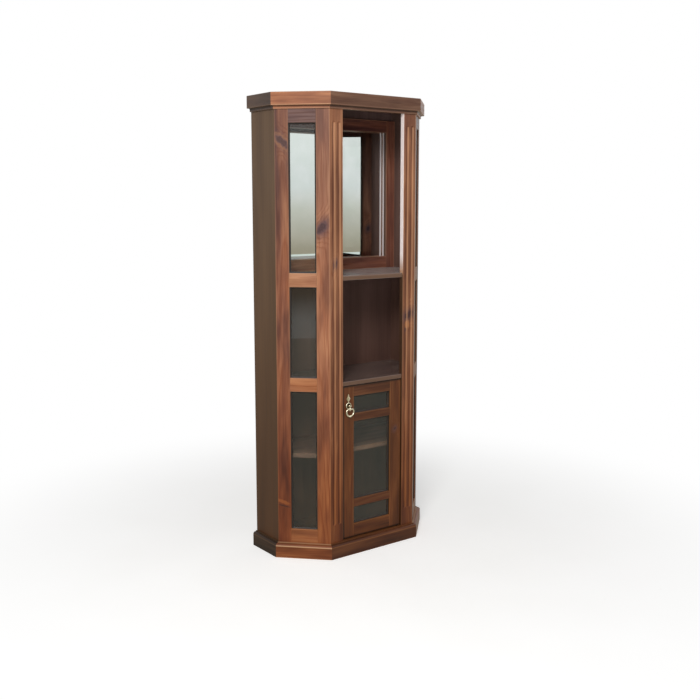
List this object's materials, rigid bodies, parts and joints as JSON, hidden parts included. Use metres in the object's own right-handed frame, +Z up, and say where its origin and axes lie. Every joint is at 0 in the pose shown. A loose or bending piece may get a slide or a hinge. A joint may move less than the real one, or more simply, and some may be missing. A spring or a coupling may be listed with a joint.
{
  "type": "display cabinet",
  "caption": "Tall stained-pine display cabinet with canted glazed corners, fluted posts, open shelves, a framed mirror and a glazed hinged door with a drop pull.",
  "frame": {"origin": "on the floor, at the middle of the plan", "axes": "+X along the front to the viewer's right, +Y from the front to the back, +Z up; the front faces -Y"},
  "size_m": [0.74, 0.325, 1.76],
  "materials": {
    "stained_pine": "satin varnish over a red-brown stain",
    "side_board": "satin varnish, grey brown",
    "inner_board": "matt dark brown stain",
    "clear_glass": "polished",
    "silvered_mirror": "polished, bevelled",
    "antique_brass": "pale antique",
    "zinc_steel": "zinc plated",
    "catch_plastic": "brown moulded"
  },
  "bodies": {
    "carcass": {"back_panel": "inner_board", "cant_beads_left": "stained_pine", "cant_beads_right": "stained_pine", "cant_bottom_rail_left": "stained_pine", "cant_bottom_rail_right": "stained_pine", "cant_front_stile_left": "stained_pine", "cant_front_stile_right": "stained_pine", "cant_lower_rail_left": "stained_pine", "cant_lower_rail_right": "stained_pine", "cant_panes_left": "clear_glass", "cant_panes_right": "clear_glass", "cant_rear_stile_left": "stained_pine", "cant_rear_stile_right": "stained_pine", "cant_top_rail_left": "stained_pine", "cant_top_rail_right": "stained_pine", "cant_upper_rail_left": "stained_pine", "cant_upper_rail_right": "stained_pine", "cornice_cant_left": "stained_pine", "cornice_cant_right": "stained_pine", "cornice_front": "stained_pine", "cornice_side_left": "stained_pine", "cornice_side_right": "stained_pine", "floor_panel": "inner_board", "front_bottom_rail": "stained_pine", "header_rail": "stained_pine", "inner_shelf": "stained_pine", "magnet_catch": "catch_plastic", "middle_shelf": "stained_pine", "mirror_bottom_rail": "stained_pine", "mirror_glass": "silvered_mirror", "mirror_stile_left": "stained_pine", "mirror_stile_right": "stained_pine", "mirror_top_rail": "stained_pine", "pilaster_left": "stained_pine", "pilaster_right": "stained_pine", "pivot_pins": "zinc_steel", "plinth_cant_left": "stained_pine", "plinth_cant_right": "stained_pine", "plinth_front": "stained_pine", "plinth_side_left": "stained_pine", "plinth_side_right": "stained_pine", "shelf_pins": "zinc_steel", "side_panel_left": "side_board", "side_panel_right": "side_board", "top_panel": "inner_board", "upper_shelf": "stained_pine"},
    "door": {"door_beads": "stained_pine", "door_bottom_pane": "clear_glass", "door_bottom_rail": "stained_pine", "door_hinge_stile": "stained_pine", "door_lock_stile": "stained_pine", "door_lower_rail": "stained_pine", "door_middle_pane": "clear_glass", "door_strike": "zinc_steel", "door_top_pane": "clear_glass", "door_top_rail": "stained_pine", "door_upper_rail": "stained_pine", "pull_plate": "antique_brass"},
    "drop": {"pull_drop": "antique_brass"}
  },
  "joints": [
    {"name": "door_hinge", "type": "hinge", "parent": "carcass", "child": "door", "pos_m": [0.132, -0.1315, 0.062], "axis": [0, 0, 1], "range_deg": [0, 105]},
    {"name": "drop_swing", "type": "hinge", "parent": "door", "child": "drop", "pos_m": [-0.117, -0.1495, 0.59], "axis": [-1, 0, 0], "range_deg": [0, 85]}
  ]
}
